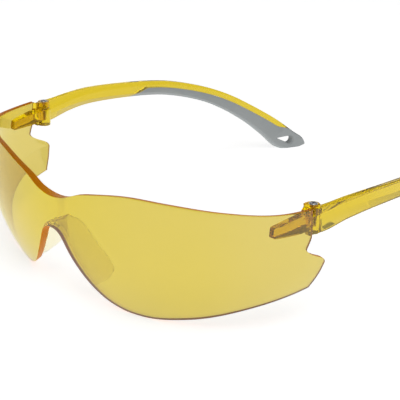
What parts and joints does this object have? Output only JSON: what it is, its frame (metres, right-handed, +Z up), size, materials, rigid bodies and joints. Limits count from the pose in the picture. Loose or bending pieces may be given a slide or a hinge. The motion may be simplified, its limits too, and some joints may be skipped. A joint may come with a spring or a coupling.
{
  "type": "safety glasses",
  "caption": "Wraparound safety glasses: one-piece tinted shield with a soft nose piece, screw-hinged folding arms with soft rear grips and lanyard slots.",
  "frame": {"origin": "on the table below the middle of the glasses' bounding box", "axes": "+X to the right when the front of the shield is looked at, +Y back along the arms, +Z up"},
  "size_m": [0.1426, 0.1815, 0.0422],
  "materials": {
    "amber_shield": "clear amber polycarbonate, polished",
    "amber_hinge_block": "clear amber polycarbonate, thick section, polished",
    "amber_arm": "clear amber polycarbonate, polished",
    "nose_soft": "soft translucent plastic, satin",
    "grip_soft": "soft grey overmould, matte",
    "screw_steel": "plain steel"
  },
  "bodies": {
    "front": {"lens_shield": "amber_shield", "nose_piece": "nose_soft", "hinge_block_right": "amber_hinge_block", "hinge_block_left": "amber_hinge_block", "hinge_screw_right": "screw_steel", "hinge_screw_left": "screw_steel"},
    "temple_right": {"temple_arm_right": "amber_arm", "temple_grip_right": "grip_soft"},
    "temple_left": {"temple_arm_left": "amber_arm", "temple_grip_left": "grip_soft"}
  },
  "joints": [
    {"name": "hinge_right", "type": "hinge", "parent": "front", "child": "temple_right", "pos_m": [0.0668, -0.0429, 0.0344], "axis": [0, 0, 1], "range_deg": [0, 78]},
    {"name": "hinge_left", "type": "hinge", "parent": "front", "child": "temple_left", "pos_m": [-0.0668, -0.0429, 0.0344], "axis": [0, 0, -1], "range_deg": [0, 86]}
  ]
}
